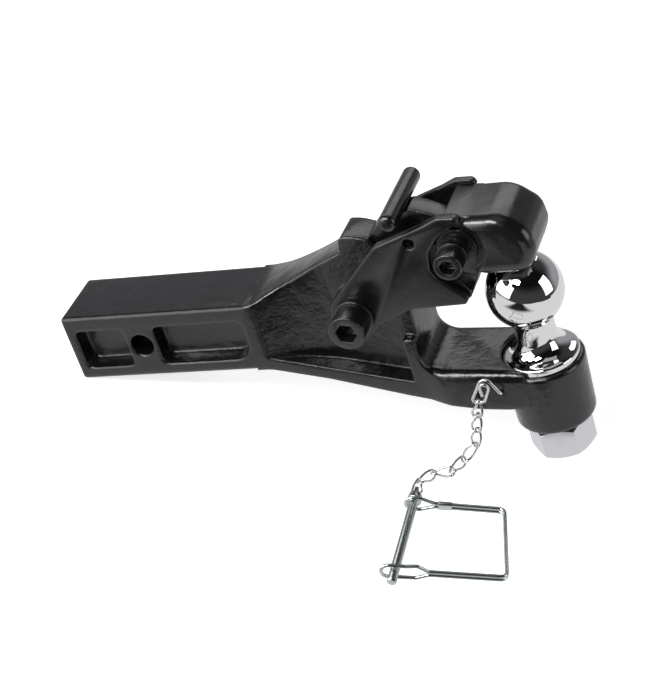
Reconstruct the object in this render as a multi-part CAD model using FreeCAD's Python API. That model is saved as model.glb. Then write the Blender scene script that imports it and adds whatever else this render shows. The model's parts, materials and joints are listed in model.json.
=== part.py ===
import FreeCAD, Part
import math
import os

# Combination ball and pintle tow hitch, in millimetres.
# It is drawn level: X runs from the rear end of the shank to the ball, Z is up,
# Y = 0 is the middle plane, and Z = 0 is the shank's own axis. At the end all of
# it is tipped to the attitude in which it stands on a floor, with the origin at
# the centre of the hitch pin hole.

os.makedirs("parts", exist_ok=True)
Vec = FreeCAD.Vector
ALONG_X = Vec(1, 0, 0)
ALONG_Y = Vec(0, 1, 0)
ALONG_Z = Vec(0, 0, 1)

# Receiver shank
shank_side = 50.8
shank_length = 145.0
shank_edge_radius = 3.0
hitch_pin_hole_radius = 8.35
hitch_pin_hole_from_end = 55.5
hitch_pin_rim = 1.2
pocket_depth = 12.0
pocket_draft = 1.6
pocket_corner = 5.0
pocket_top = 14.5
pocket_bottom = -16.5
rear_pocket_start = 7.0
pocket_to_pin_hole = 2.15
rear_pocket_length = hitch_pin_hole_from_end - hitch_pin_hole_radius - pocket_to_pin_hole - rear_pocket_start
front_pocket_start = 67.0
front_pocket_length = 67.5

# Casting ahead of the shank
neck_length = 71.5
neck_top_radius = 3.0
web_thickness = 24.0
flange_thickness = 9.0
boss_radius = 17.0
boss_half_width = 19.1
hump_radius = 51.2
throat_wall_thickness = 9.0
throat_width = 46.5
throat_corner = 13.0
jaw_half_width = 28.8
jaw_depth = 24.0
jaw_edge_radius = 7.0

# Ball, its stud and nut
pivot_to_ball = 107.2
ball_diameter = 50.8
ball_centre_height = 8.5
ball_neck_radius = 13.5
ball_flange_radius = 25.2
ball_flange_thickness = 5.0
ball_seat_height = -43.5
stud_radius = 12.7
stud_clearance = 0.3
stud_below_nut = 1.0
boss_height = 45.5
ball_boss_radius = 27.8
ball_boss_taper = 1.4
lock_washer_thickness = 3.6
nut_across_flats = 38.1
nut_height = 21.0

# Main pivot, which carries the upper jaw
pivot_height = 13.0
main_bolt_radius = 8.0
main_bush_radius = 11.0
main_head_radius = 12.0
main_head_height = 16.0
main_washer_thickness = 4.0
main_nut_across_flats = 24.0
main_nut_height = 14.0

# Upper jaw
cheek_thickness = 6.0
cheek_edge_radius = 1.4
cheek_end_radius = 17.0
side_clearance = 0.3
running_clearance = 0.05
bolt_clearance = 0.15
pivot_to_lever_x = 79.0
pivot_to_lever_z = 43.0
beak_top_above_lever = 20.5
beak_half_width = ball_diameter / 2
beak_nose_ahead_of_ball = 21.0
beak_ball_gap = 0.4
beak_corner = 12.0
beak_edge_radius = 9.0
safety_hole_radius = 4.0

# Lock lever
lever_thickness = 16.0
lever_hub_radius = 11.0
lever_bush_radius = 8.0
lever_bolt_radius = 6.0
lever_head_radius = 9.0
lever_head_height = 12.0
lever_washer_thickness = 3.2
lever_spacer_length = 7.5
lever_boss_radius = 13.2
lever_recess = 5.8
lever_boss_stand = 2.3
lever_nut_across_flats = 19.0
lever_nut_height = 10.8
slot_near_clearance = 0.4
spring_wire_radius = 1.2
spring_turn_radius = 10.2
spring_room = 7.9
spring_side_clearance = 0.8
spring_turn_gap = 0.15
spring_arcs_per_turn = 8
spring_arcs = 14
spring_bend_share = 0.97
lever_lift_deg = 28.0
toe_clearance = 0.35
handle_radius = 6.0
handle_length = 63.4

# Chain, safety pin and bail
chain_wire_radius = 0.95
chain_link_inside = 12.6
chain_link_width = 8.0
chain_clearance = 1.1
chain_drop_lean = 0.3
chain_drop_roll = 15.0
chain_bend_roll = 20.0
chain_bend_lift = 5.7
chain_bend_heading = -131.0
chain_floor_lift = 4.0
chain_floor_headings = (-113.0, -154.0, -120.0)
chain_end_heading = -85.0
anchor_wire_radius = 1.1
safety_pin_radius = 3.175
safety_pin_length = 76.0
safety_pin_head_radius = 4.8
safety_pin_head_length = 9.0
safety_pin_tail_thickness = 2.4
safety_pin_eye_radius = 2.2
bail_wire_radius = 1.3
bail_play = 0.35
bail_reach = 57.6
bail_far_reach = 68.1
bail_fall = 3.0
ferrule_start = 16.0
ferrule_length = 8.5
ferrule_wall = 0.5

# Places that follow from the sizes above
half_side = shank_side / 2
pivot_x = shank_length + neck_length
ball_x = pivot_x + pivot_to_ball
lever_x = pivot_x + pivot_to_lever_x
lever_z = pivot_height + pivot_to_lever_z
cheek_inner = boss_half_width + side_clearance
cheek_outer = cheek_inner + cheek_thickness
half_web = web_thickness / 2
half_lever = lever_thickness / 2
ball_boss_bottom = ball_seat_height - boss_height
nut_top = ball_boss_bottom - lock_washer_thickness
nut_bottom = nut_top - nut_height
ball_top = ball_centre_height + ball_diameter / 2
slot_near = -half_lever - slot_near_clearance
slot_far = half_lever + spring_room
beak_boss_face = cheek_inner + lever_boss_stand


def spot(u, v, plane):
    if plane == "xz":
        return Vec(u, 0, v)
    if plane == "xy":
        return Vec(u, v, 0)
    return Vec(0, u, v)


# A closed outline of (u, v) or (u, v, corner radius) points, corners rounded by arcs
def outline(points, plane):
    count = len(points)
    edges = []
    previous_end = None
    first_start = None
    for i in range(count):
        u, v = points[i][0], points[i][1]
        radius = points[i][2] if len(points[i]) > 2 else 0.0
        before = points[i - 1]
        after = points[(i + 1) % count]
        here = Vec(u, v, 0)
        back = Vec(before[0] - u, before[1] - v, 0)
        ahead = Vec(after[0] - u, after[1] - v, 0)
        back.normalize()
        ahead.normalize()
        half_angle = back.getAngle(ahead) / 2
        if radius > 0 and half_angle < math.radians(89.5):
            reach = radius / math.tan(half_angle)
            start = here + back * reach
            end = here + ahead * reach
            middle_way = (back + ahead).normalize()
            to_centre = radius / math.sin(half_angle)
            middle = here + middle_way * (to_centre - radius)
        else:
            start = end = here
            middle = None
        if previous_end is not None and (start - previous_end).Length > 1e-6:
            edges.append(line_between(previous_end, start, plane))
        if middle is not None:
            edges.append(Part.Arc(spot(start.x, start.y, plane), spot(middle.x, middle.y, plane),
                                  spot(end.x, end.y, plane)).toShape())
        if first_start is None:
            first_start = start
        previous_end = end
    if (first_start - previous_end).Length > 1e-6:
        edges.append(line_between(previous_end, first_start, plane))
    return Part.Wire(edges)


def line_between(a, b, plane):
    return Part.LineSegment(spot(a.x, a.y, plane), spot(b.x, b.y, plane)).toShape()


def slab_along_y(points, low, high):
    face = Part.Face(outline(points, "xz"))
    face.translate(Vec(0, low, 0))
    return face.extrude(Vec(0, high - low, 0))


def slab_along_z(points, low, high):
    face = Part.Face(outline(points, "xy"))
    face.translate(Vec(0, 0, low))
    return face.extrude(Vec(0, 0, high - low))


def bar_along_x(points, low, high):
    face = Part.Face(outline(points, "yz"))
    face.translate(Vec(low, 0, 0))
    return face.extrude(Vec(high - low, 0, 0))


def rod_y(x, z, radius, low, high):
    return Part.makeCylinder(radius, high - low, Vec(x, low, z), ALONG_Y)


def rod_z(x, y, radius, low, high):
    return Part.makeCylinder(radius, high - low, Vec(x, y, low), ALONG_Z)


def ring_y(x, z, outer, inner, low, high):
    return rod_y(x, z, outer, low, high).cut(rod_y(x, z, inner, low - 1, high + 1))


# A solid turned about the vertical through (x, 0), from (radius, height) points
def turned(x, points):
    face = Part.Face(outline(points, "xz"))
    solid = face.revolve(Vec(0, 0, 0), ALONG_Z, 360)
    solid.translate(Vec(x, 0, 0))
    return solid


def mirrored(shape):
    return shape.mirror(Vec(0, 0, 0), ALONG_Y)


def fused(shapes):
    return shapes[0].multiFuse(shapes[1:]).removeSplitter()


def hexagon_prism(across_flats, height, chamfer):
    corner = across_flats / math.sqrt(3)
    points = []
    for i in range(6):
        angle = math.radians(60 * i)
        points.append((corner * math.cos(angle), corner * math.sin(angle)))
    prism = slab_along_z(points, 0, height)
    rim = corner - chamfer / math.tan(math.radians(30))
    rounding = turned(0, [(0, 0), (rim, 0), (corner, chamfer), (corner, height - chamfer),
                          (rim, height), (0, height)])
    return prism.common(rounding)


def from_pivot(dx, dz, radius=0.0):
    return (pivot_x + dx, pivot_height + dz, radius)


def from_lever(dx, dz, radius=0.0):
    return (lever_x + dx, lever_z + dz, radius)


def turned_point(dx, dz, degrees):
    angle = math.radians(degrees)
    return dx * math.cos(angle) + dz * math.sin(angle), dz * math.cos(angle) - dx * math.sin(angle)


# One tapered pocket in the near side of the shank
def pocket(start, length, lower_front_corner):
    wires = []
    for inset, y in ((0.0, -half_side), (pocket_draft, -half_side + pocket_depth)):
        low = pocket_bottom + inset
        high = pocket_top - inset
        left = start + inset
        right = start + length - inset
        wire = outline([(left, low, pocket_corner), (right, low, lower_front_corner),
                        (right, high, pocket_corner), (left, high, pocket_corner)], "xz")
        wire.translate(Vec(0, y, 0))
        wires.append(wire)
    return Part.makeLoft(wires, True, True)


def shank():
    edge = shank_edge_radius
    bar = bar_along_x([(-half_side, -half_side, edge), (half_side, -half_side, edge),
                       (half_side, half_side, edge), (-half_side, half_side, edge)],
                      0, shank_length)
    rear = [e for e in bar.Edges if e.BoundBox.XMax < 0.01]
    bar = bar.makeFillet(edge * 0.8, rear)
    for start, length, corner in ((rear_pocket_start, rear_pocket_length, pocket_corner),
                                  (front_pocket_start, front_pocket_length, 2.4 * pocket_corner)):
        near = pocket(start, length, corner)
        bar = bar.cut(near).cut(mirrored(near))
    hole = rod_y(hitch_pin_hole_from_end, 0, hitch_pin_hole_radius, -shank_side, shank_side)
    bar = bar.cut(hole)
    rims = []
    for e in bar.Edges:
        box = e.BoundBox
        on_side = abs(abs(box.YMin) - half_side) < 0.01 and box.YLength < 0.01
        round_hole = abs(box.XLength - 2 * hitch_pin_hole_radius) < 0.05
        if on_side and round_hole and abs(box.ZLength - 2 * hitch_pin_hole_radius) < 0.05:
            rims.append(e)
    return bar.makeFillet(hitch_pin_rim, rims)


# Half widths of the neck, seen from above, from the shank's front end on
def neck_plan():
    half = [(-5.5, half_side), (4.0, 23.2), (14.0, 18.7), (27.0, 15.1), (40.0, 13.0)]
    points = [Vec(shank_length + dx, width, 0) for dx, width in half]
    points.append(Vec(shank_length + 54.0, half_web, 0))
    side = Part.BSplineCurve()
    side.interpolate(points, InitialTangent=ALONG_X, FinalTangent=ALONG_X)
    upper = side.toShape()
    lower = upper.mirror(Vec(0, 0, 0), ALONG_Y)
    far_end = pivot_x + 60
    start = points[0]
    end = points[-1]
    edges = [upper]
    corners = [end, Vec(far_end, half_web, 0), Vec(far_end, -half_web, 0), Vec(end.x, -half_web, 0)]
    for a, b in zip(corners, corners[1:]):
        edges.append(Part.LineSegment(a, b).toShape())
    edges.append(lower)
    rear = shank_length - 6
    closing = [Vec(start.x, -half_side, 0), Vec(rear, -half_side, 0), Vec(rear, half_side, 0), start]
    for a, b in zip(closing, closing[1:]):
        edges.append(Part.LineSegment(a, b).toShape())
    wire = Part.Wire(Part.__sortEdges__(edges))
    face = Part.Face(wire)
    face.translate(Vec(0, 0, -100))
    return face.extrude(Vec(0, 0, 200))


# The lock face on the front of the hump, from its foot to its top
def lock_face():
    return (23.4, 41.2), (18.0, 47.2)


def web():
    foot, crest = lock_face()
    wall_front = 34.8
    profile = [(shank_length - 6, -half_side + 6), (shank_length - 6, half_side),
               (shank_length, half_side, 20.0), from_pivot(-42.5, 23.3, 60.0),
               from_pivot(-3.2, 40.2, 4.0), from_pivot(-1.0, 51.4, 3.0),
               from_pivot(8.0, 51.0, 30.0), from_pivot(crest[0], crest[1], 1.0),
               from_pivot(foot[0], foot[1], 1.0), from_pivot(29.5, 31.0, 8.0),
               from_pivot(wall_front, 15.0, 8.0), from_pivot(wall_front, -52.0),
               from_pivot(20.0, -60.0), (shank_length + 30, -half_side - 5),
               (shank_length, -half_side)]
    solid = slab_along_y(profile, -half_side, half_side)
    return solid.common(neck_plan())


# Underside of the casting, from the shank to under the ball boss
def underside():
    return [(shank_length, -half_side), (shank_length + 39.4, -35.4), (pivot_x + 0.7, -45.9),
            (pivot_x + 20.9, -52.4), (pivot_x + 45.0, -59.1), (pivot_x + 68.0, -63.5),
            (pivot_x + 86.2, -64.8)]


# The point at x on the line through a and b
def on_line(a, b, x):
    share = (x - a[0]) / (b[0] - a[0])
    return x, a[1] + share * (b[1] - a[1])


def flange():
    low = underside()
    profile = [(shank_length - 10, -half_side), (low[0][0], low[0][1], 30.0),
               (low[1][0], low[1][1], 80.0), (low[2][0], low[2][1], 100.0),
               (low[3][0], low[3][1], 60.0), on_line(low[3], low[4], pivot_x + 38.0)]
    top_front = (pivot_x + 38.0, -44.8)
    top_rear = (shank_length, -half_side + flange_thickness)
    profile += [top_front, top_rear, (shank_length - 10, -half_side + flange_thickness)]
    return slab_along_y(profile, -half_side, half_side)


def lower_jaw():
    low = underside()
    wall_front = pivot_x + 34.8
    wall_back = wall_front - throat_wall_thickness
    wall_top = -8.0
    jaw_top = low[4][1] + jaw_depth
    end = ball_x - 6
    profile = [on_line(low[3], low[4], wall_back), (low[4][0], low[4][1], 60.0), (low[5][0], low[5][1], 80.0),
               (low[6][0], low[6][1], 20.0), (end, low[6][1]), (end, jaw_top - 2.4),
               (wall_front, jaw_top + 1.2, throat_corner), (wall_front, wall_top, 3.0),
               (wall_back, wall_top, 3.0)]
    width = jaw_half_width
    solid = slab_along_y(profile, -width, width)
    solid = rounded_edges(solid, jaw_edge_radius, jaw_top_edge)
    plan = [(wall_back - 1, -half_side), (wall_front - 1, -half_side, 20.0),
            (wall_front + 14, -width, 20.0), (end + 1, -width), (end + 1, width),
            (wall_front + 14, width, 20.0), (wall_front - 1, half_side, 20.0),
            (wall_back - 1, half_side)]
    return solid.common(slab_along_z(plan, -90, 20))


# The long upper edges of the lower jaw, from the throat wall to the boss
def jaw_top_edge(edge):
    box = edge.BoundBox
    along_side = box.YLength < 0.01 and abs(abs(box.YMin) - jaw_half_width) < 0.01
    above = box.ZMin > -41 and box.ZMax < -10.0
    return along_side and above and box.XMin > pivot_x + 34.7 and box.XMax < ball_x - 5.9


def rounded_edges(solid, radius, wanted):
    edges = [e for e in solid.Edges if wanted(e)]
    return solid.makeFillet(radius, edges)


def throat_rib():
    wall_front = pivot_x + 34.8
    profile = [(wall_front - throat_wall_thickness, -30), (wall_front, -30),
               (wall_front, pivot_height - 1.0, 4.0),
               (wall_front - throat_wall_thickness, pivot_height - 1.0, 2.0)]
    half = throat_width / 2
    return slab_along_y(profile, -min(half, boss_half_width), min(half, boss_half_width))


def ball_boss():
    top = ball_boss_radius
    low = ball_boss_radius - ball_boss_taper
    return turned(ball_x, [(0, ball_boss_bottom), (low, ball_boss_bottom, 3.0),
                           (top, ball_seat_height, 2.5), (0, ball_seat_height)])


def hook_body():
    boss = rod_y(pivot_x, pivot_height, boss_radius, -boss_half_width, boss_half_width)
    whole = fused([shank(), web(), flange(), lower_jaw(), throat_rib(), boss, ball_boss()])
    stud_hole = rod_z(ball_x, 0, stud_radius + stud_clearance, ball_boss_bottom - 5, 0)
    spot_face = rod_z(ball_x, 0, ball_flange_radius + 0.8, ball_seat_height, 0)
    bore = rod_y(pivot_x, pivot_height, main_bush_radius + running_clearance,
                 -boss_half_width - 1, boss_half_width + 1)
    whole = whole.cut(stud_hole).cut(spot_face).cut(bore)
    anchor = anchor_eye()
    hole = rod_y(anchor.x, anchor.z, anchor_wire_radius + running_clearance,
                 anchor.y - 1, anchor.y + anchor_depth())
    return whole.cut(hole)


# The wire anchor turns in a blind hole in the near side of the lower jaw
def anchor_eye():
    return Vec(ball_x - 21.4, -jaw_half_width - 4.2, -49.0)


def anchor_depth():
    return 13.0


def hitch_ball():
    radius = ball_diameter / 2
    seat = ball_seat_height
    flange_top = seat + ball_flange_thickness
    neck = ball_neck_radius
    meet = math.sqrt(radius ** 2 - (neck + 1.2) ** 2)
    neck_top = Vec(neck + 1.2, 0, ball_centre_height - meet)
    cap = 5.0
    cap_height = ball_centre_height + math.sqrt(radius ** 2 - cap ** 2)
    tip = nut_bottom - 0.0 + stud_below_nut
    chamfer = 1.5
    edges = []
    path = [Vec(0, 0, tip), Vec(stud_radius - chamfer, 0, tip), Vec(stud_radius, 0, tip + chamfer),
            Vec(stud_radius, 0, seat), Vec(ball_flange_radius - 0.6, 0, seat),
            Vec(ball_flange_radius, 0, seat + 0.6), Vec(ball_flange_radius, 0, flange_top - 0.8),
            Vec(ball_flange_radius - 0.8, 0, flange_top)]
    for a, b in zip(path, path[1:]):
        edges.append(Part.LineSegment(a, b).toShape())
    flare_top = Vec(neck, 0, flange_top + 13.0)
    flare_foot = Vec(ball_flange_radius - 2.6, 0, flange_top + 0.9)
    edges.append(Part.LineSegment(path[-1], flare_foot).toShape())
    bend = Vec(neck + 2.8, 0, flange_top + 5.2)
    edges.append(Part.Arc(flare_foot, bend, flare_top).toShape())
    edges.append(Part.Arc(flare_top, Vec(neck - 0.2, 0, (flare_top.z + neck_top.z) / 2), neck_top).toShape())
    side = Vec(radius, 0, ball_centre_height)
    crown = Vec(cap, 0, cap_height)
    edges.append(Part.Arc(neck_top, side, crown).toShape())
    edges.append(Part.LineSegment(crown, Vec(0, 0, cap_height)).toShape())
    edges.append(Part.LineSegment(Vec(0, 0, cap_height), path[0]).toShape())
    solid = Part.Face(Part.Wire(edges)).revolve(Vec(0, 0, 0), ALONG_Z, 360)
    solid.translate(Vec(ball_x, 0, 0))
    return solid


def ball_lock_washer():
    outer = nut_across_flats / 2 - 0.6
    washer = rod_z(ball_x, 0, outer, nut_top, ball_boss_bottom)
    return washer.cut(rod_z(ball_x, 0, stud_radius + 0.5, nut_top - 1, ball_boss_bottom + 1))


def ball_nut():
    nut = hexagon_prism(nut_across_flats, nut_height, 1.7)
    nut.rotate(Vec(0, 0, 0), ALONG_Z, 8.0)
    nut.translate(Vec(ball_x, 0, nut_bottom))
    return nut.cut(rod_z(ball_x, 0, stud_radius + 0.02, nut_bottom - 1, nut_top + 1))


# Outline of a cheek plate, from the round end at the main pivot forwards
def cheek_points():
    return [from_pivot(-15.2, 8.2, 14.0), from_pivot(-5.8, 18.4), from_pivot(26.4, 50.0, 12.0),
            from_pivot(62.0, 62.4, 10.0), from_pivot(72.3, 66.9, 6.0), from_pivot(84.5, 66.4, 3.0),
            from_pivot(86.6, 62.1, 0.8), from_pivot(69.3, 52.8, 14.0), from_pivot(60.3, 41.1, 12.0),
            from_pivot(58.9, 29.2, 6.0), from_pivot(61.7, 23.7, 4.0), from_pivot(79.4, 7.0, 1.6),
            from_pivot(76.2, 2.9, 2.0), from_pivot(39.1, 1.8, 20.0), from_pivot(13.9, -9.3, 6.0),
            from_pivot(3.0, -18.7)]


def cheek_plate():
    blade = slab_along_y(cheek_points(), -cheek_outer, -cheek_inner)
    end = rod_y(pivot_x, pivot_height, cheek_end_radius, -cheek_outer, -cheek_inner)
    plate = fused([blade, end])
    rim = [e for e in plate.Edges if e.BoundBox.YMax < -cheek_outer + 0.01]
    plate = plate.makeFillet(cheek_edge_radius, rim)
    bolt_hole = rod_y(pivot_x, pivot_height, main_bolt_radius + bolt_clearance, -cheek_outer - 1, 0)
    hole = safety_hole()
    pin_hole = rod_y(hole.x, hole.z, safety_hole_radius, -cheek_outer - 1, 0)
    boss_room = rod_y(lever_x, lever_z, lever_boss_radius + side_clearance, -cheek_outer - 1, 0)
    return plate.cut(bolt_hole).cut(pin_hole).cut(boss_room)


def safety_hole():
    x, z, _ = from_lever(-28.8, 7.5)
    return Vec(x, 0, z)


def jaw_beak():
    top = lever_z + beak_top_above_lever
    nose = ball_x + beak_nose_ahead_of_ball
    foot = ball_top + beak_ball_gap
    rear = [from_lever(-4.5, beak_top_above_lever + 0.8, 0.8), from_lever(-12.5, 10.0, 6.0),
            from_lever(-14.6, -4.0, 6.0), from_lever(-9.5, -15.5, 6.0), from_lever(3.5, -21.5, 3.0),
            from_lever(13.0, -19.5), (lever_x + 13.0, top)]
    rear_block = slab_along_y(rear, -cheek_inner, cheek_inner)
    rear_face = lever_x + 9.0
    half = beak_half_width
    front = [(rear_face, top), (ball_x + 4.0, top, 22.0), (nose - 1.5, top - 13.5, 14.0),
             (nose + 0.5, foot + 15.0, 14.0), (nose - 6.0, foot, 12.0), (ball_x - 14.0, foot, 10.0),
             (rear_face, foot + 1.6)]
    front_block = slab_along_y(front, -half, half)
    front_block = rounded_edges(front_block, beak_edge_radius,
                                lambda e: e.BoundBox.YLength < 0.01 and e.BoundBox.XMax > rear_face + 0.5)
    for side in (-1, 1):
        low = min(side * cheek_inner, side * (half + 1))
        high = max(side * cheek_inner, side * (half + 1))
        relief = rod_y(lever_x, lever_z, lever_boss_radius + lever_recess, low, high)
        front_block = front_block.cut(relief)
    boss = rod_y(lever_x, lever_z, lever_boss_radius, -beak_boss_face, beak_boss_face)
    beak = fused([rear_block, front_block, boss])
    return beak.cut(lever_slot()).cut(rod_y(lever_x, lever_z, lever_bolt_radius + bolt_clearance, -40, 40))


# The slot in the beak holds the lever's hub and lets its tang swing up under the top
def lever_slot():
    turn = math.radians(67.9 - lever_lift_deg)
    reach = 9.6
    foot_x = reach * math.cos(turn)
    foot_z = reach * math.sin(turn)
    slope_x = -math.sin(turn)
    slope_z = math.cos(turn)
    points = [from_lever(-30.0, -30.0), from_lever(-30.0, foot_z + slope_z * (30.0 + foot_x) / -slope_x),
              from_lever(foot_x, foot_z), from_lever(foot_x, -9.0), from_lever(-2.0, -13.5),
              from_lever(-6.0, -30.0)]
    wedge = slab_along_y(points, slot_near, slot_far)
    hub_room = rod_y(lever_x, lever_z, lever_hub_radius + 1.3, slot_near, slot_far)
    return wedge.fuse(hub_room)


# Cross block between the cheek plates, which closes the back of the throat
def throat_block():
    points = [from_lever(-19.3, -40.0, 3.0), from_lever(-0.5, -39.5, 3.0), from_lever(1.0, -35.0, 4.0),
              from_lever(-6.2, -24.0, 4.0), from_lever(-11.5, -16.0, 2.0), from_lever(-17.4, -15.0, 2.0),
              from_lever(-19.6, -20.0, 4.0)]
    return slab_along_y(points, -cheek_inner, cheek_inner)


def socket_screw(x, z, radius, head_radius, head_height, head_face, tip):
    key = head_radius * 0.62
    under = head_face + head_height
    head = rod_y(x, z, head_radius, head_face, under)
    rim = [e for e in head.Edges if e.BoundBox.YMax < head_face + 0.01]
    head = head.makeFillet(0.8, rim)
    socket = hexagon_prism(2 * key * math.cos(math.radians(30)), head_height * 0.6, 0.01)
    socket.rotate(Vec(0, 0, 0), ALONG_X, -90)
    socket.rotate(Vec(0, 0, 0), ALONG_Y, 12.0)
    socket.translate(Vec(x, head_face - 0.01, z))
    shank_part = rod_y(x, z, radius, under - 0.5, tip)
    return fused([head.cut(socket), shank_part])


def main_pivot_bolt():
    face = -cheek_outer - main_washer_thickness - main_head_height
    return socket_screw(pivot_x, pivot_height, main_bolt_radius, main_head_radius, main_head_height,
                        face, cheek_outer + main_nut_height + 3.0)


def main_pivot_bush():
    return ring_y(pivot_x, pivot_height, main_bush_radius, main_bolt_radius + bolt_clearance,
                  -cheek_inner, cheek_inner)


def main_pivot_spring_washer():
    return ring_y(pivot_x, pivot_height, main_head_radius + 1.2, main_bolt_radius + 0.3,
                  -cheek_outer - main_washer_thickness, -cheek_outer)


def nut_on_y(x, z, across_flats, height, bore, low):
    nut = hexagon_prism(across_flats, height, 1.0)
    nut.rotate(Vec(0, 0, 0), ALONG_X, -90)
    nut.translate(Vec(x, low, z))
    return nut.cut(rod_y(x, z, bore, low - 1, low + height + 1))


def main_pivot_nut():
    return nut_on_y(pivot_x, pivot_height, main_nut_across_flats, main_nut_height,
                    main_bolt_radius + 0.02, cheek_outer)


def lever_pivot_bolt():
    face = -beak_boss_face - lever_spacer_length - lever_washer_thickness - lever_head_height
    return socket_screw(lever_x, lever_z, lever_bolt_radius, lever_head_radius, lever_head_height,
                        face, beak_boss_face + lever_nut_height + 2.5)


def lever_pivot_spacer():
    return ring_y(lever_x, lever_z, lever_bolt_radius + 2.8, lever_bolt_radius + bolt_clearance,
                  -beak_boss_face - lever_spacer_length, -beak_boss_face)


def lever_pivot_spring_washer():
    low = -beak_boss_face - lever_spacer_length
    return ring_y(lever_x, lever_z, lever_head_radius + 0.8, lever_bolt_radius + 0.3,
                  low - lever_washer_thickness, low)


def lever_pivot_bush():
    return ring_y(lever_x, lever_z, lever_bush_radius, lever_bolt_radius + bolt_clearance,
                  slot_near, slot_far)


def lever_pivot_nut():
    return nut_on_y(lever_x, lever_z, lever_nut_across_flats, lever_nut_height,
                    lever_bolt_radius + 0.02, beak_boss_face)


# Torsion spring: its turns lie round the bush, beside the lever
def lever_return_spring():
    low = half_lever + spring_side_clearance + spring_wire_radius
    pitch = 2 * spring_wire_radius + spring_turn_gap
    step = 360.0 / spring_arcs_per_turn
    corner_radius = spring_turn_radius / math.cos(math.radians(step / 2))
    stops = [(0.0, spring_turn_radius)]
    for i in range(spring_arcs):
        stops.append((i + 0.5, corner_radius))
    stops.append((float(spring_arcs), spring_turn_radius))
    points = []
    for count, radius in stops:
        angle = math.radians(step * count)
        place = Vec(lever_x + radius * math.cos(angle), low + pitch * count / spring_arcs_per_turn,
                    lever_z + radius * math.sin(angle))
        points.append((place, spring_bend_share * spring_turn_radius))
    return bent_wire(points, spring_wire_radius)


def lever_outline():
    foot, crest = lock_face()
    run = Vec(crest[0] - foot[0], crest[1] - foot[1], 0).normalize()
    away = Vec(run.y, -run.x, 0) * toe_clearance
    toe_low = from_pivot(foot[0] + away.x + 0.2 * run.x, foot[1] + away.y + 0.2 * run.y, 0.6)
    toe_high = from_pivot(crest[0] + away.x + 1.5 * run.x, crest[1] + away.y + 1.5 * run.y, 2.0)
    return [toe_low, toe_high, from_lever(-46.0, 18.6, 6.0),
            from_lever(-30.2, 22.6, 1.0), from_lever(-19.3, 18.4, 30.0), from_lever(-8.6, 13.2, 10.0),
            from_lever(0.0, 9.4, 3.0), from_lever(4.0, 0.0), from_lever(0.0, -9.0),
            from_lever(-12.0, -7.5, 20.0), from_pivot(31.0, 43.6, 8.0)]


def lock_lever():
    blade = slab_along_y(lever_outline(), -half_lever, half_lever)
    hub = rod_y(lever_x, lever_z, lever_hub_radius, -half_lever, half_lever)
    lever = fused([blade, hub])
    x, z = handle_place()
    groove = rod_y(x, z, handle_radius, -half_lever - 1, half_lever + 1)
    hole = safety_hole()
    pin_hole = rod_y(hole.x, hole.z, safety_hole_radius, -half_lever - 1, half_lever + 1)
    bore = rod_y(lever_x, lever_z, lever_bush_radius + running_clearance, -half_lever - 1, half_lever + 1)
    return lever.cut(groove).cut(pin_hole).cut(bore)


def handle_place():
    x, z, _ = from_lever(-36.8, 25.8)
    return x, z


def lever_handle_rod():
    x, z = handle_place()
    half = handle_length / 2
    rod = rod_y(x, z, handle_radius, -half, half)
    ends = [e for e in rod.Edges if e.BoundBox.YLength < 0.01]
    return rod.makeFillet(handle_radius * 0.6, ends)


# How far the whole hitch is tipped when it stands on the shank's rear edge and the nut
def rest_tilt():
    edge = shank_edge_radius * 0.8
    run = ball_x - (nut_across_flats / math.sqrt(3) - 1.7 / math.tan(math.radians(30))) - edge
    drop = (-half_side + edge) - nut_bottom
    reach = math.hypot(run, drop)
    return math.degrees(math.atan2(drop, run) - math.asin(edge / reach))


strand = bail_wire_radius + 0.05
loop_radius = safety_pin_radius + bail_play + bail_wire_radius
pin_lift = loop_radius + bail_wire_radius + 0.1
tilt = rest_tilt()
floor_contact = Vec(shank_edge_radius * 0.8, 0, -half_side + shank_edge_radius * 0.8)


# A point of the level drawing, as it lies when the hitch stands on the floor
def at_rest(point):
    angle = math.radians(tilt)
    x = point.x - hitch_pin_hole_from_end
    return Vec(x * math.cos(angle) - point.z * math.sin(angle), point.y,
               x * math.sin(angle) + point.z * math.cos(angle))


floor_z = at_rest(floor_contact).z - shank_edge_radius * 0.8


# One wire along the given points, each with the radius of its bend
def bent_wire(points, radius):
    edges = []
    last = points[0][0]
    for i in range(1, len(points) - 1):
        corner, bend = points[i]
        back = (points[i - 1][0] - corner).normalize()
        ahead = (points[i + 1][0] - corner).normalize()
        half_angle = back.getAngle(ahead) / 2
        reach = bend / math.tan(half_angle)
        start = corner + back * reach
        end = corner + ahead * reach
        middle = corner + (back + ahead).normalize() * (bend / math.sin(half_angle) - bend)
        if (start - last).Length > 1e-4:
            edges.append(Part.LineSegment(last, start).toShape())
        edges.append(Part.Arc(start, middle, end).toShape())
        last = end
    edges.append(Part.LineSegment(last, points[-1][0]).toShape())
    path = Part.Wire(edges)
    way = points[1][0] - points[0][0]
    circle = Part.Wire([Part.makeCircle(radius, points[0][0], way)])
    return path.makePipeShell([circle], True, True)


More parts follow.
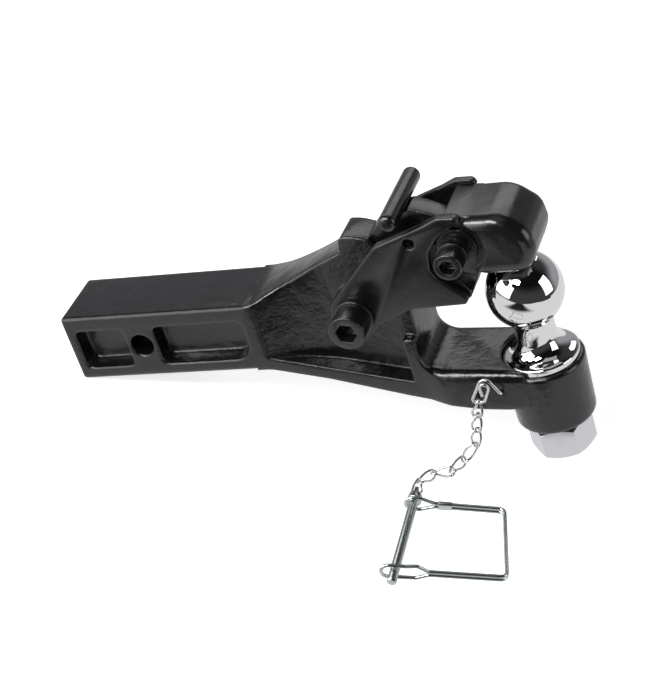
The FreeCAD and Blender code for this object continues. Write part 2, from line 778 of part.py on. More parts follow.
# One twisted link, between the places where its neighbours hold it. Each round end
# stands at its own roll about the link's length, counted in the given frame.
def twisted_link(start, end, frame, start_roll, end_roll):
    across = chain_link_width / 2 - chain_wire_radius
    straight = (chain_link_inside + chain_clearance) / 2 + chain_wire_radius - across
    parts = []
    tips = []
    for side, roll in ((-1, start_roll), (1, end_roll)):
        circle = Part.Face(Part.Wire([Part.makeCircle(chain_wire_radius, Vec(across, 0, 0), ALONG_Z)]))
        bow = circle.revolve(Vec(0, 0, 0), ALONG_Y, -180 * side)
        bow.translate(Vec(0, 0, side * straight))
        bow.rotate(Vec(0, 0, 0), ALONG_Z, roll)
        parts.append(bow)
        angle = math.radians(roll)
        tips.append([Vec(s * across * math.cos(angle), s * across * math.sin(angle), side * straight)
                     for s in (-1, 1)])
    for a, b in zip(tips[0], tips[1]):
        parts.append(Part.makeSphere(chain_wire_radius, a))
        parts.append(Part.makeSphere(chain_wire_radius, b))
        parts.append(Part.makeCylinder(chain_wire_radius, (b - a).Length, a, b - a))
    link = fused(parts)
    link.Placement = FreeCAD.Placement((start + end) * 0.5, frame)
    return link


# Each link turns on from the one before it without a twist of its own, except for a
# little roll that brings the lying ones down onto both their edges. The first end
# stands square to the anchor's wire and the last one lies flat in the pin's eye.
def link_chain():
    places = chain_places()
    links = []
    frame = FreeCAD.Rotation()
    way = ALONG_Z
    middle_roll = 135.0
    hanging = hanging_links()
    last = len(places) - 2
    for i in range(last + 1):
        next_way = (places[i + 1] - places[i]).normalize()
        turn_axis = way.cross(next_way)
        if turn_axis.Length > 1e-6:
            bend = FreeCAD.Rotation(turn_axis, math.degrees(way.getAngle(next_way)))
            frame = bend * frame
        way = next_way
        end_roll = middle_roll + 45
        if i == last:
            level = way.cross(ALONG_Z).normalize()
            across_x = frame.multVec(ALONG_X)
            across_y = frame.multVec(ALONG_Y)
            flat_roll = math.degrees(math.atan2(level.dot(across_y), level.dot(across_x)))
            end_roll = flat_roll + 180 * round((middle_roll - flat_roll) / 180)
        end = places[i + 1]
        if i == last:
            end = end - way * (chain_clearance / 2)
        links.append(twisted_link(places[i], end, frame, middle_roll - 45, end_roll))
        if i < hanging:
            middle_roll += chain_drop_roll
        elif i == hanging:
            middle_roll += chain_bend_roll
    return links


# Where the chain's links hold each other, from the anchor down to the floor and
# along it to the safety pin. From here on, places are those of the hitch at rest.
def chain_places():
    places = [at_rest(anchor_low())]
    for i in range(hanging_links()):
        places.append(places[-1] + Vec(0, chain_drop_lean, -chain_link_inside))
    places.append(stepped(places[-1], chain_bend_heading, floor_z + chain_bend_lift))
    for heading in chain_floor_headings:
        places.append(stepped(places[-1], heading, floor_z + chain_floor_lift))
    places.append(stepped(places[-1], chain_end_heading, floor_z + pin_lift))
    return places


# The links that hang straight: the next one down leans over onto the floor
def hanging_links():
    height = at_rest(anchor_low()).z - floor_z - chain_bend_lift
    return int(height / chain_link_inside)


# One link further on, on the given heading, ending at the given height
def stepped(place, heading, height):
    rise = height - place.z
    run = math.sqrt(chain_link_inside ** 2 - rise ** 2)
    angle = math.radians(heading)
    return place + Vec(run * math.cos(angle), run * math.sin(angle), rise)


def anchor_low():
    return Vec(ball_x - 38.4, anchor_eye().y, -53.5)


def chain_anchor():
    eye = anchor_eye()
    inner = Vec(eye.x, eye.y + anchor_depth() - 0.4, eye.z)
    low = anchor_low()
    curl_y = low.y - 2 * anchor_wire_radius - 0.2
    bends = [(inner, 0), (eye, 2.0), (Vec(low.x + 8.0, low.y, low.z + 20.5), 4.5),
             (Vec(low.x - 5.2, low.y, low.z - 2.0), 2.5), (Vec(low.x + 4.5, low.y, low.z - 0.7), 3.0),
             (Vec(low.x + 11.5, curl_y, low.z + 13.0), 3.0), (Vec(low.x + 4.5, curl_y, low.z + 15.5), 2.6),
             (Vec(low.x + 5.0, curl_y, low.z + 5.5), 0)]
    wire = bent_wire(bends, anchor_wire_radius)
    wire.translate(Vec(-hitch_pin_hole_from_end, 0, 0))
    wire.rotate(Vec(0, 0, 0), ALONG_Y, -tilt)
    return wire


def chain_links(first, last):
    return Part.makeCompound(link_chain()[first:last])


# The safety pin lies on the floor with its bail closed. Its own axes: y runs along it
# from the tip to the head, x towards the bail, z up, and the eye for the chain at the end.
pin_heading = 4.5
pin_eye_y = 6.6
pin_head_start = -2.2
pin_tip_y = -77.0
bail_eye_y = -4.2
bail_catch_y = -66.9


def place_pin(shape):
    eye = chain_places()[-1]
    shape = shape.copy()
    shape.translate(Vec(0, -pin_eye_y, 0))
    shape.rotate(Vec(0, 0, 0), ALONG_Z, pin_heading)
    shape.translate(Vec(eye.x, eye.y, floor_z + pin_lift))
    return shape


def safety_pin():
    shank_part = rod_y(0, 0, safety_pin_radius, pin_tip_y, pin_head_start + 1)
    tip = [e for e in shank_part.Edges if e.BoundBox.YMax < pin_tip_y + 0.01]
    shank_part = shank_part.makeChamfer(1.0, tip)
    head_end = pin_head_start + 5.8
    head = rod_y(0, 0, safety_pin_head_radius, pin_head_start, head_end)
    ends = [e for e in head.Edges if e.BoundBox.YLength < 0.01]
    head = head.makeFillet(0.8, ends)
    half = safety_pin_tail_thickness / 2
    eye_outer = safety_pin_eye_radius + 1.7
    tail = Part.makeCylinder(eye_outer, 2 * half, Vec(-half, pin_eye_y, 0), ALONG_X)
    tail = tail.fuse(Part.makeBox(2 * half, pin_eye_y - head_end + 1, 2 * eye_outer,
                                  Vec(-half, head_end - 1, -eye_outer)))
    hole = Part.makeCylinder(safety_pin_eye_radius, 20, Vec(-10, pin_eye_y, 0), ALONG_X)
    return place_pin(fused([shank_part, head, tail.cut(hole)]))


def tipped_bail(shape):
    shape.rotate(Vec(0, 0, 0), ALONG_Y, bail_fall)
    return place_pin(shape)


def bail_corners():
    return Vec(bail_reach, 4.6, 0), Vec(bail_far_reach, -55.0, 0)


def pin_bail():
    top, far = bail_corners()
    eye = Vec(0, bail_eye_y, 0)
    catch = Vec(0, bail_catch_y, 0)
    top_way = (top - eye).normalize()
    far_way = (far - catch).normalize()
    up = Vec(0, 0, 1)
    start = eye + top_way * (ferrule_start + ferrule_length / 2)
    bends = [(start - up * strand, 0), (eye + top_way * 13.5 - up * strand, 4.0),
             (eye + top_way * 4.0 - up * loop_radius, 4.0),
             (eye - top_way * loop_radius - up * loop_radius, loop_radius * 0.98),
             (eye - top_way * loop_radius + up * loop_radius, loop_radius * 0.98),
             (eye + top_way * 4.0 + up * loop_radius, 4.0), (eye + top_way * 13.5 + up * strand, 4.0),
             (top + up * strand, 4.0), (far + up * strand, 4.0),
             (catch + far_way * 21.0 + up * strand, 3.0),
             (catch + far_way * 13.5 + up * (loop_radius + 0.6), 3.0),
             (catch + far_way * 6.0 + up * (loop_radius - 0.2), 3.0),
             (catch - far_way * (loop_radius + 3.5) + up * loop_radius, loop_radius * 0.98),
             (catch - far_way * (loop_radius + 3.5) - up * loop_radius, loop_radius * 0.98),
             (catch + far_way * 6.0 - up * (loop_radius - 0.2), 3.0),
             (catch + far_way * 13.5 - up * (loop_radius - 0.3), 3.0),
             (catch + far_way * 21.0 - up * strand, 3.0),
             (far - up * strand, 4.0), (top - up * strand, 4.0),
             (start + top_way * 0.2 - up * strand, 0)]
    return tipped_bail(bent_wire(bends, bail_wire_radius))


def bail_ferrule():
    wall = bail_wire_radius + ferrule_wall
    high = strand + wall
    body = slab_along_y([(-wall, -high, wall * 0.98), (wall, -high, wall * 0.98),
                         (wall, high, wall * 0.98), (-wall, high, wall * 0.98)], 0, ferrule_length)
    for z in (-strand, strand):
        body = body.cut(rod_y(0, z, bail_wire_radius + 0.02, -1, ferrule_length + 1))
    top = bail_corners()[0]
    way = (top - Vec(0, bail_eye_y, 0)).normalize()
    turn = math.degrees(math.atan2(way.y, way.x)) - 90
    body.rotate(Vec(0, 0, 0), ALONG_Z, turn)
    body.translate(Vec(0, bail_eye_y, 0) + way * ferrule_start)
    return tipped_bail(body)


def save(name, shape, drawn_level):
    if drawn_level:
        shape = shape.copy()
        shape.translate(Vec(-hitch_pin_hole_from_end, 0, 0))
        shape.rotate(Vec(0, 0, 0), ALONG_Y, -tilt)
    solids = shape.Solids
    bad = [s for s in solids if not s.isValid()]
    print(name, "solids", len(solids), "volume", round(sum(s.Volume for s in solids), 1), "bad", len(bad))
    shape.exportStep("parts/" + name + ".step")


level_pieces = {
    "hook_body": hook_body,
    "hitch_ball": hitch_ball,
    "ball_lock_washer": ball_lock_washer,
    "ball_nut": ball_nut,
    "jaw_beak": jaw_beak,
    "cheek_plate_right": cheek_plate,
    "cheek_plate_left": lambda: mirrored(cheek_plate()),
    "throat_block": throat_block,
    "main_pivot_bolt": main_pivot_bolt,
    "main_pivot_bush": main_pivot_bush,
    "main_pivot_spring_washer": main_pivot_spring_washer,
    "main_pivot_nut": main_pivot_nut,
    "lever_pivot_bolt": lever_pivot_bolt,
    "lever_pivot_bush": lever_pivot_bush,
    "lever_pivot_spacer": lever_pivot_spacer,
    "lever_pivot_spring_washer": lever_pivot_spring_washer,
    "lever_pivot_nut": lever_pivot_nut,
    "lever_return_spring": lever_return_spring,
    "lock_lever": lock_lever,
    "lever_handle_rod": lever_handle_rod,
}
floor_pieces = {
    "chain_anchor": chain_anchor,
    "chain_drop_links": lambda: chain_links(0, hanging_links() + 1),
    "chain_floor_links": lambda: chain_links(hanging_links() + 1, -1),
    "chain_end_link": lambda: chain_links(-1, None),
    "safety_pin": safety_pin,
    "pin_bail": pin_bail,
    "bail_ferrule": bail_ferrule,
}
for node, make in level_pieces.items():
    save(node, make(), True)
for node, make in floor_pieces.items():
    save(node, make(), False)

print("tilt", round(tilt, 4), "floor", round(floor_z, 3))
for place in chain_places():
    print("link", [round(c, 2) for c in place])
for label, point in (("main pivot", Vec(pivot_x, 0, pivot_height)), ("lever pivot", Vec(lever_x, 0, lever_z)),
                     ("ball", Vec(ball_x, 0, ball_centre_height)), ("anchor eye", anchor_eye()),
                     ("safety hole", safety_hole())):
    print(label, [round(c, 3) for c in at_rest(point)])
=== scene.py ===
import json
import math

import bpy
from mathutils import Matrix, Quaternion, Vector


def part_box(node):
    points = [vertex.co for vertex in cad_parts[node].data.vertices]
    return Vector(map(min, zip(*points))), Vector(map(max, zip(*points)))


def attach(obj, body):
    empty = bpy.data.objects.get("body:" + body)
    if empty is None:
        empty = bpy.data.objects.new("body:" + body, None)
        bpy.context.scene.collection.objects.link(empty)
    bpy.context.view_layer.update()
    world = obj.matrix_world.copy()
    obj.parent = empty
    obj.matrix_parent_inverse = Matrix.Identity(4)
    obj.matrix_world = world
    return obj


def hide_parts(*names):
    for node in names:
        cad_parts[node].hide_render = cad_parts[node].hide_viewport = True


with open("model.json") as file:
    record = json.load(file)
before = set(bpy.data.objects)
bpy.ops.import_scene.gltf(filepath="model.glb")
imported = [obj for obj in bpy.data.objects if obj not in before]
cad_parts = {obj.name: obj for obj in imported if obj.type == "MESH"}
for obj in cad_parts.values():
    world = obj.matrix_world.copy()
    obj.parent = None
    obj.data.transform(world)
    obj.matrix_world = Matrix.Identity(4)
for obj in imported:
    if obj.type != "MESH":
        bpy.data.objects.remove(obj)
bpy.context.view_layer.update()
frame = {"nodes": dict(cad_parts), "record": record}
nodes = frame["nodes"]


def startClean():
    if bpy.context.object and bpy.context.object.mode != "OBJECT":
        bpy.ops.object.mode_set(mode="OBJECT")
    bpy.ops.object.select_all(action="DESELECT")


# Makes a piece the active one and the only one selected
def pickOnly(piece):
    startClean()
    piece.select_set(True)
    bpy.context.view_layer.objects.active = piece


# Selects the vertices of the edited mesh for which the test is true, and nothing else
def selectPoints(piece, test):
    bpy.ops.object.mode_set(mode="EDIT")
    bpy.ops.mesh.select_mode(type="VERT")
    bpy.ops.mesh.select_all(action="DESELECT")
    bpy.ops.object.mode_set(mode="OBJECT")
    for vertex in piece.data.vertices:
        vertex.select = test(vertex.co)
    bpy.ops.object.mode_set(mode="EDIT")


# The same for edges, where the test is given the places of the two ends
def selectEdges(piece, test):
    bpy.ops.object.mode_set(mode="EDIT")
    bpy.ops.mesh.select_mode(type="EDGE")
    bpy.ops.mesh.select_all(action="DESELECT")
    bpy.ops.object.mode_set(mode="OBJECT")
    points = piece.data.vertices
    for edge in piece.data.edges:
        edge.select = test(*(points[i].co for i in edge.vertices))
    bpy.ops.object.mode_set(mode="EDIT")


def smooth(piece, degrees):
    pickOnly(piece)
    bpy.ops.object.shade_smooth_by_angle(angle=math.radians(degrees))
    piece.select_set(False)


def applyModifier(piece, modifier):
    pickOnly(piece)
    bpy.ops.object.modifier_apply(modifier=modifier.name)


def copyOf(piece, name):
    pickOnly(piece)
    bpy.ops.object.duplicate(linked=False)
    bpy.context.object.name = name
    return bpy.context.object


# Puts a finished piece in its place and leaves its own object at the origin
def putInPlace(piece, matrix):
    piece.matrix_world = matrix
    pickOnly(piece)
    bpy.ops.object.transform_apply(location=True, rotation=True, scale=True)


print("camera")
cameraSettings = {
    "place": (0.42665, -0.95642, 0.78560),
    "right": (0.95623, 0.29255, -0.00567),
    "forward": (-0.23490, 0.75600, -0.61103),
    "focal": 1889.2,  # in pixels of the photograph
    "longSide": 685,  # also in pixels
    "sensor": 36,
    "clip": (0.05, 50),
}
startClean()
bpy.ops.object.camera_add()
camera = bpy.context.object
camera.name = "camera"
cameraForward = Vector(cameraSettings["forward"]).normalized()
cameraUp = Vector(cameraSettings["right"]).cross(cameraForward).normalized()
cameraRight = cameraForward.cross(cameraUp).normalized()
camera.matrix_world = Matrix((
    (cameraRight.x, cameraUp.x, -cameraForward.x, cameraSettings["place"][0]),
    (cameraRight.y, cameraUp.y, -cameraForward.y, cameraSettings["place"][1]),
    (cameraRight.z, cameraUp.z, -cameraForward.z, cameraSettings["place"][2]),
    (0, 0, 0, 1),
))
camera.data.sensor_width = cameraSettings["sensor"]
camera.data.lens = cameraSettings["focal"] * cameraSettings["sensor"] / cameraSettings["longSide"]
camera.data.clip_start, camera.data.clip_end = cameraSettings["clip"]
bpy.context.scene.camera = camera


print("materials")
surface = {
    "gloss": 0.5,
    "edgeSamples": 8,
    "bumpDetail": 2,
    "wearDetail": 4,
    "wearEnds": (0.3, 0.7),  # the part of the noise that the wear is spread over
}


# Options are a node's own settings, values its sockets' constants, links the outputs joined to its sockets
def addNode(tree, kind, options={}, values={}, links={}):
    node = tree.nodes.new(kind)
    for name, value in options.items():
        setattr(node, name, value)
    for socket, value in values.items():
        node.inputs[socket].default_value = value
    for socket, output in links.items():
        tree.links.new(output, node.inputs[socket])
    return node


# What the source does between the two ends is spread over the two values
def spreadNode(tree, source, ends, values, curve="SMOOTHSTEP"):
    numbers = {"From Min": ends[0], "From Max": ends[1], "To Min": values[0], "To Max": values[1]}
    spread = addNode(tree, "ShaderNodeMapRange", {"interpolation_type": curve}, numbers, {"Value": source})
    return spread.outputs["Result"]


def mathNode(tree, operation, *sources):
    return addNode(tree, "ShaderNodeMath", {"operation": operation}, links=dict(enumerate(sources))).outputs[0]


def mixNode(tree, choice, plain, chosen):
    return addNode(tree, "ShaderNodeMixShader", links={0: choice, 1: plain, 2: chosen}).outputs[0]


def noiseNode(tree, place, scale, detail):
    noise = addNode(tree, "ShaderNodeTexNoise", values={"Scale": scale, "Detail": detail}, links={"Vector": place})
    return noise.outputs["Fac"]


def newMaterial(name, settings):
    made = bpy.data.materials.new(name)
    made.use_nodes = True
    tree = made.node_tree
    shader = tree.nodes["Principled BSDF"].inputs
    shader["Base Color"].default_value = (*settings["colour"], 1)
    shader["Metallic"].default_value = settings.get("metallic", 0)
    shader["Roughness"].default_value = settings["roughness"]
    shader["Specular IOR Level"].default_value = settings.get("gloss", surface["gloss"])
    place = addNode(tree, "ShaderNodeTexCoord").outputs["Object"]
    normal = {}
    if "edge" in settings:  # sharp edges are shaded as round ones
        edge = addNode(tree, "ShaderNodeBevel", {"samples": surface["edgeSamples"]}, {"Radius": settings["edge"]})
        normal = {"Normal": edge.outputs["Normal"]}
    for bump in settings.get("bumps", ()):
        noise = noiseNode(tree, place, bump["scale"], bump.get("detail", surface["bumpDetail"]))
        height = addNode(
            tree, "ShaderNodeBump", values={"Strength": bump["strength"], "Distance": bump["depth"]},
            links={"Height": noise, **normal})
        normal = {"Normal": height.outputs["Normal"]}
    if normal:
        tree.links.new(normal["Normal"], shader["Normal"])
    if "wear" in settings:
        wear = settings["wear"]
        noise = noiseNode(tree, place, wear["scale"], surface["wearDetail"])
        spread = spreadNode(tree, noise, surface["wearEnds"], wear["roughness"], "LINEAR")
        tree.links.new(spread, shader["Roughness"])
    return made


materialSettings = {
    "black_casting": {
        "colour": (0.004, 0.004, 0.005), "roughness": 0.18, "gloss": 0.68, "edge": 0.0032,
        "bumps": (
            {"scale": 90, "strength": 0.4, "depth": 0.0012},
            {"scale": 380, "strength": 0.35, "depth": 0.0006, "detail": 3},
            {"scale": 1500, "strength": 0.25, "depth": 0.00012},
        ),
        "wear": {"scale": 60, "roughness": (0.12, 0.25)},
    },
    "black_jaw": {
        "colour": (0.005, 0.005, 0.006), "roughness": 0.24, "gloss": 0.75, "edge": 0.0018,
        "bumps": (
            {"scale": 110, "strength": 0.25, "depth": 0.0006},
            {"scale": 700, "strength": 0.25, "depth": 0.0002, "detail": 3},
        ),
        "wear": {"scale": 80, "roughness": (0.18, 0.30)},
    },
    "black_screws": {
        "colour": (0.006, 0.006, 0.007), "roughness": 0.24, "gloss": 0.9, "edge": 0.0007,
        "bumps": ({"scale": 900, "strength": 0.15, "depth": 0.0001},),
    },
    "steel_bush": {"colour": (0.45, 0.45, 0.46), "metallic": 1, "roughness": 0.35},
    "spring_steel": {"colour": (0.25, 0.25, 0.26), "metallic": 1, "roughness": 0.4},
    "chrome": {"colour": (0.80, 0.80, 0.81), "metallic": 1, "roughness": 0.03},
    "zinc_nut": {
        "colour": (0.70, 0.70, 0.745), "metallic": 1, "roughness": 0.28,
        "bumps": ({"scale": 160, "strength": 0.06, "depth": 0.0002},),
        "wear": {"scale": 150, "roughness": (0.16, 0.26)},
    },
    "zinc_wire": {"colour": (0.68, 0.70, 0.70), "metallic": 1, "roughness": 0.2},
    "zinc_pin": {
        "colour": (0.60, 0.645, 0.635), "metallic": 1, "roughness": 0.22,
        "bumps": ({"scale": 500, "strength": 0.1, "depth": 0.0001},),
    },
}
materials = {name: newMaterial(name, settings) for name, settings in materialSettings.items()}
slotOfNode = {part["node"]: part["material_slot"] for part in frame["record"]["subparts"]}
for name, node in nodes.items():
    node.data.materials.clear()
    node.data.materials.append(materials[slotOfNode[name]])


print("rounded edges on the frame")
edgeSettings = {
    "smoothAngle": 30,
    "weldDistance": 0.000002,
    "flatAngle": 0.4,
    "sharpAngle": 34,
    "segments": 3,
    "widths": {
        "hook_body": 0.0018,
        "jaw_beak": 0.0009,
        "cheek_plate_right": 0.0009,
        "cheek_plate_left": 0.0009,
        "throat_block": 0.0008,
        "lock_lever": 0.0008,
        "lever_handle_rod": 0.0022,
        "main_pivot_bolt": 0.0005,
        "main_pivot_nut": 0.0004,
        "main_pivot_spring_washer": 0.0003,
        "lever_pivot_bolt": 0.0004,
        "lever_pivot_nut": 0.0004,
        "lever_pivot_spacer": 0.0004,
        "lever_pivot_spring_washer": 0.0003,
        "ball_nut": 0.0004,
        "ball_lock_washer": 0.0003,
        "hitch_ball": 0.0005,
        "safety_pin": 0.0003,
        "bail_ferrule": 0.0003,
    },
}
for name, node in nodes.items():
    smooth(node, edgeSettings["smoothAngle"])
    if name in edgeSettings["widths"]:
        weld = node.modifiers.new("weld", "WELD")
        weld.merge_threshold = edgeSettings["weldDistance"]
        flat = node.modifiers.new("flat", "DECIMATE")
        flat.decimate_type = "DISSOLVE"
        flat.angle_limit = math.radians(edgeSettings["flatAngle"])
        rounding = node.modifiers.new("rounding", "BEVEL")
        rounding.limit_method = "ANGLE"
        rounding.angle_limit = math.radians(edgeSettings["sharpAngle"])
        rounding.width = edgeSettings["widths"][name]
        rounding.segments = edgeSettings["segments"]
startClean()


print("chain")
chain = {
    "places": (  # where the links cross, from the anchor's loop to the pin's hole
        (0.23559, -0.03300, 0.012944), (0.23559, -0.03270, 0.000344), (0.23559, -0.03240, -0.012256),
        (0.23559, -0.03210, -0.024856), (0.229664, -0.038917, -0.03364), (0.224786, -0.050409, -0.03534),
        (0.213461, -0.055933, -0.03534), (0.207161, -0.066845, -0.03534), (0.208242, -0.0792, -0.033115),
    ),
    "firstRoll": 135,
    "rolls": (15, 15, 15, 20, 0, 0, 0),  # from each link to the next
    "twist": 90,
    "pitch": 0.0126,
    "width": 0.0080,
    "wire": 0.00090,
    "clearance": 0.0011,
    "ringSteps": 32,
    "wireSteps": 12,
    "sideSteps": 10,
    "smoothAngle": 180,
    "nodes": (
        ("chain_drop_links", "chain_drop", 0, 4),
        ("chain_floor_links", "chain_run", 4, 7),
        ("chain_end_link", "chain_end", 7, 8),
    ),
}


# A link lies along z: a ring pulled long, its sides divided, then twisted about z
def twistedLink(name, twist, length):
    across = chain["width"] / 2 - chain["wire"]
    straight = (length + chain["clearance"]) / 2 + chain["wire"] - across
    startClean()
    bpy.ops.mesh.primitive_torus_add(
        major_radius=across, minor_radius=chain["wire"],
        major_segments=chain["ringSteps"], minor_segments=chain["wireSteps"],
        rotation=(math.pi / 2, 0, 0))
    link = bpy.context.object
    link.name = name
    bpy.ops.object.transform_apply(location=False, rotation=True, scale=False)
    seam = across * math.sin(math.pi / chain["ringSteps"]) / 2  # only the two middle rings of points lie within it
    selectPoints(link, lambda point: point.z > seam)
    bpy.ops.transform.translate(value=(0, 0, straight))
    selectPoints(link, lambda point: point.z < -seam)
    bpy.ops.transform.translate(value=(0, 0, -straight))
    selectEdges(link, lambda a, b: abs(a.z - b.z) > straight / 2)
    bpy.ops.mesh.subdivide(number_cuts=chain["sideSteps"])
    bpy.ops.object.mode_set(mode="OBJECT")
    half = straight + across + chain["wire"]
    low = (half - straight) / (2 * half)
    turn = link.modifiers.new("turn", "SIMPLE_DEFORM")
    turn.deform_method = "TWIST"
    turn.deform_axis = "Z"
    turn.angle = math.radians(twist)
    turn.limits = (low, 1 - low)
    applyModifier(link, turn)
    return link


# All links but the last are copies of one, and the last one's far end is turned to lie level in the pin's hole
def chainLinks():
    places = [Vector(place) for place in chain["places"]]
    pattern = twistedLink("chain_link", chain["twist"], chain["pitch"])
    up = Vector((0, 0, 1))
    way = up
    turned = Quaternion()
    middleRoll = chain["firstRoll"]
    links = []
    for i, (start, end) in enumerate(zip(places, places[1:])):
        name = "chain_link_%d" % (i + 1)
        nextWay = (end - start).normalized()
        turned = way.rotation_difference(nextWay) @ turned
        way = nextWay
        if i < len(chain["rolls"]):
            link = copyOf(pattern, name)
            roll = middleRoll
            middleRoll += chain["rolls"][i]
        else:
            end = end - way * chain["clearance"] / 2
            level = way.cross(up).normalized()
            flatRoll = math.degrees(math.atan2(
                level.dot(turned @ Vector((0, 1, 0))), level.dot(turned @ Vector((1, 0, 0)))))
            endRoll = flatRoll + 180 * round((middleRoll - flatRoll) / 180)
            startRoll = middleRoll - chain["twist"] / 2
            link = twistedLink(name, endRoll - startRoll, (end - start).length)
            roll = (startRoll + endRoll) / 2
        centre = Matrix.Translation((start + end) / 2)
        putInPlace(link, centre @ turned.to_matrix().to_4x4() @ Matrix.Rotation(math.radians(roll), 4, "Z"))
        link.data.materials.append(materials["zinc_wire"])
        smooth(link, chain["smoothAngle"])
        links.append(link)
    pickOnly(pattern)
    bpy.ops.object.delete()
    return links


links = chainLinks()
for node, body, first, end in chain["nodes"]:
    for link in links[first:end]:
        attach(link, body)
    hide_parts(node)
startClean()


print("threads")
threads = {
    "steps": 40,
    "sunk": 0.0003,  # of the tooth's foot in the bolt
    "toothWidth": 0.9,  # as a share of the pitch
    "toothHeight": 0.4,  # as a share of the thread's depth
    "plainTip": 0.4,  # in turns
    "closeness": 0.000001,
    "smoothAngle": 40,
    "ends": (
        {
            "name": "main_bolt_thread", "bolt": "main_pivot_bolt", "nut": "main_pivot_nut",
            "pitch": 0.0018, "depth": 0.0007,
        },
        {
            "name": "lever_bolt_thread", "bolt": "lever_pivot_bolt", "nut": "lever_pivot_nut",
            "pitch": 0.0015, "depth": 0.0006,
        },
    ),
}


# The turns of thread that stand out of a nut on the left side: one tooth, swept along the bolt's end
def boltThread(end):
    pitch = end["pitch"]
    nutLow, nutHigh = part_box(end["nut"])
    middle = nutLow.lerp(nutHigh, 0.5)
    start = nutHigh.y - pitch
    tip = [point.co for point in nodes[end["bolt"]].data.vertices if point.co.y > start + pitch]
    radius = max(math.hypot(co.x - middle.x, co.z - middle.z) for co in tip)
    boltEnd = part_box(end["bolt"])[1].y
    startClean()
    bpy.ops.mesh.primitive_plane_add(size=1)
    tooth = bpy.context.object
    tooth.name = end["name"]
    selectPoints(tooth, lambda point: point.y > 0)
    bpy.ops.mesh.merge(type="CENTER")
    bpy.ops.object.mode_set(mode="OBJECT")
    foot = radius - threads["sunk"]
    width = pitch * threads["toothWidth"]
    crest = radius + end["depth"] * threads["toothHeight"]
    corners = sorted(tooth.data.vertices, key=lambda vertex: (vertex.co.y, vertex.co.x))
    for corner, place in zip(corners, ((foot, 0, 0), (foot, 0, width), (crest, 0, width / 2))):
        corner.co = place
    bpy.ops.object.mode_set(mode="EDIT")
    bpy.ops.mesh.select_all(action="SELECT")
    bpy.ops.mesh.delete(type="ONLY_FACE")
    bpy.ops.object.mode_set(mode="OBJECT")
    sweep = tooth.modifiers.new("sweep", "SCREW")
    sweep.axis = "Z"
    sweep.screw_offset = pitch
    sweep.iterations = max(1, int((boltEnd - start) / pitch - threads["plainTip"]))
    sweep.steps = threads["steps"]
    sweep.render_steps = threads["steps"]
    applyModifier(tooth, sweep)
    bpy.ops.object.mode_set(mode="EDIT")
    bpy.ops.mesh.select_all(action="SELECT")
    bpy.ops.mesh.remove_doubles(threshold=threads["closeness"])
    bpy.ops.mesh.fill_holes(sides=3)
    bpy.ops.mesh.select_all(action="SELECT")
    bpy.ops.mesh.normals_make_consistent(inside=False)
    bpy.ops.object.mode_set(mode="OBJECT")
    turned = Matrix.Rotation(-math.pi / 2, 4, "X")
    putInPlace(tooth, Matrix.Translation((middle.x, start, middle.z)) @ turned)
    tooth.data.materials.append(materials["black_screws"])
    smooth(tooth, threads["smoothAngle"])
    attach(tooth, "upper_jaw")


for end in threads["ends"]:
    boltThread(end)
startClean()


print("floor")
floorSettings = {
    "size": 3.0,
    "across": 0.22,  # the middle of the floor in x
    "columns": 2,
    "rows": 60,
    "gap": 0.0001,  # under the lowest piece
    "stepFront": -0.07,
    "stepDepth": 0.11,
    "colour": (0.8, 0.8, 0.8, 1),
    "glow": (0.72, 0.98),  # for the camera, near and far
    "glowEnds": (0.45, 1.30),
    "mirrored": (0.02, 0.80),  # in shiny pieces, in front and around
    "mirroredFront": (-0.46, -0.26),
    "mirroredSide": (0.16, 0.34),
}
floorHeight = min(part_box(name)[0].z for name in nodes) - floorSettings["gap"]
startClean()
bpy.ops.mesh.primitive_grid_add(
    x_subdivisions=floorSettings["columns"], y_subdivisions=floorSettings["rows"],
    size=floorSettings["size"], location=(floorSettings["across"], 0, floorHeight))
floor = bpy.context.object
floor.name = "floor"
# The floor steps down in front of the hitch, where the pin swings lower than the hitch stands
selectPoints(floor, lambda point: point.y < floorSettings["stepFront"])
bpy.ops.transform.translate(value=(0, 0, -floorSettings["stepDepth"]))
bpy.ops.object.mode_set(mode="OBJECT")
floorMaterial = bpy.data.materials.new("white_floor")
floorMaterial.use_nodes = True
tree = floorMaterial.node_tree
tree.nodes.clear()
rays = addNode(tree, "ShaderNodeLightPath").outputs
place = addNode(tree, "ShaderNodeTexCoord").outputs["Object"]
axes = addNode(tree, "ShaderNodeSeparateXYZ", links={0: place}).outputs
distance = addNode(tree, "ShaderNodeVectorMath", {"operation": "LENGTH"}, links={0: place}).outputs["Value"]
strength = spreadNode(tree, distance, floorSettings["glowEnds"], floorSettings["glow"])
glow = addNode(tree, "ShaderNodeEmission", links={"Strength": strength}).outputs[0]
matte = addNode(tree, "ShaderNodeBsdfDiffuse", values={"Color": floorSettings["colour"]}).outputs[0]
lit = addNode(tree, "ShaderNodeAddShader", links={0: matte, 1: glow}).outputs[0]
shown = mixNode(tree, rays["Is Camera Ray"], matte, lit)
front = spreadNode(tree, axes["Y"], floorSettings["mirroredFront"], floorSettings["mirrored"])
aside = mathNode(tree, "ABSOLUTE", axes["X"])
side = spreadNode(tree, aside, floorSettings["mirroredSide"], floorSettings["mirrored"])
brighter = mathNode(tree, "MAXIMUM", front, side)
mirrored = addNode(tree, "ShaderNodeEmission", links={"Strength": brighter}).outputs[0]
whole = mixNode(tree, rays["Is Glossy Ray"], shown, mirrored)
addNode(tree, "ShaderNodeOutputMaterial", links={"Surface": whole})
floor.data.materials.append(floorMaterial)


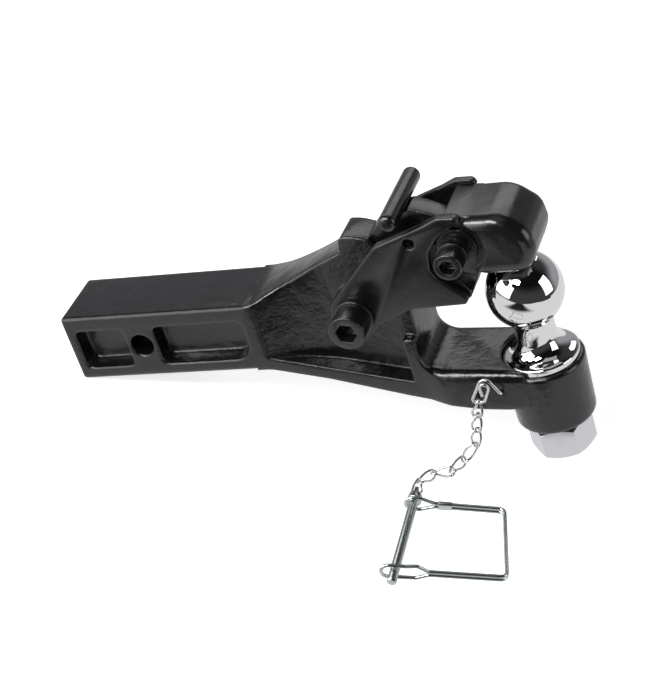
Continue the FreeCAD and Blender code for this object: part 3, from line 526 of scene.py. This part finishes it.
print("room")
room = {
    "backdrop": (1, 1, 1, 1),  # what the camera sees
    "colour": (0.95, 0.97, 1.0, 1),  # what lights the object
    "wall": (0.05, 0.36),  # from the front to the back
    "wallEnds": (0.05, 0.55),
    "height": (1.0, 0.12),  # from low to high
    "heightEnds": (0.25, 0.70),
}
world = bpy.data.worlds.new("studio")
bpy.context.scene.world = world
world.use_nodes = True
tree = world.node_tree
tree.nodes.clear()
rays = addNode(tree, "ShaderNodeLightPath").outputs
direction = addNode(tree, "ShaderNodeTexCoord").outputs["Generated"]
axes = addNode(tree, "ShaderNodeSeparateXYZ", links={0: direction}).outputs
wall = spreadNode(tree, axes["Y"], room["wallEnds"], room["wall"])
height = spreadNode(tree, axes["Z"], room["heightEnds"], room["height"])
strength = mathNode(tree, "MULTIPLY", wall, height)
around = addNode(
    tree, "ShaderNodeBackground", values={"Color": room["colour"]}, links={"Strength": strength}).outputs[0]
backdrop = addNode(tree, "ShaderNodeBackground", values={"Color": room["backdrop"]}).outputs[0]
whole = mixNode(tree, rays["Is Camera Ray"], around, backdrop)
addNode(tree, "ShaderNodeOutputWorld", links={"Surface": whole})


print("lamps")
lamps = {
    "aim": (0.14, -0.02, 0.03),
    "each": (
        {"name": "backSoftbox", "at": (-0.30, 1.20, 1.15), "size": (1.8, 0.7), "power": 6.5},
        {"name": "leftSoftbox", "at": (-0.88, -0.74, 0.42), "size": (1.5, 0.9), "power": 11},
        {"name": "cornerSoftbox", "at": (-0.78, -0.86, 1.04), "size": (0.56, 0.34), "power": 11},
        {"name": "rightSoftbox", "at": (1.50, -0.10, 0.66), "size": (0.7, 1.1), "power": 5},
        {"name": "topSoftbox", "at": (0.10, -0.10, 1.60), "size": (0.9, 0.9), "power": 1},
        {"name": "frontSoftbox", "at": (-0.28, -1.00, 1.30), "size": (0.60, 0.36), "power": 12},
    ),
}
for lamp in lamps["each"]:
    startClean()
    bpy.ops.object.light_add(type="AREA", location=lamp["at"])
    light = bpy.context.object
    light.name = lamp["name"]
    light.data.shape = "RECTANGLE"
    light.data.size, light.data.size_y = lamp["size"]
    light.data.energy = lamp["power"]
    aim = Vector(lamps["aim"]) - Vector(lamp["at"])
    light.rotation_mode = "QUATERNION"
    light.rotation_quaternion = aim.to_track_quat("-Z", "Y")
startClean()

bpy.context.scene.view_settings.view_transform = "Standard"
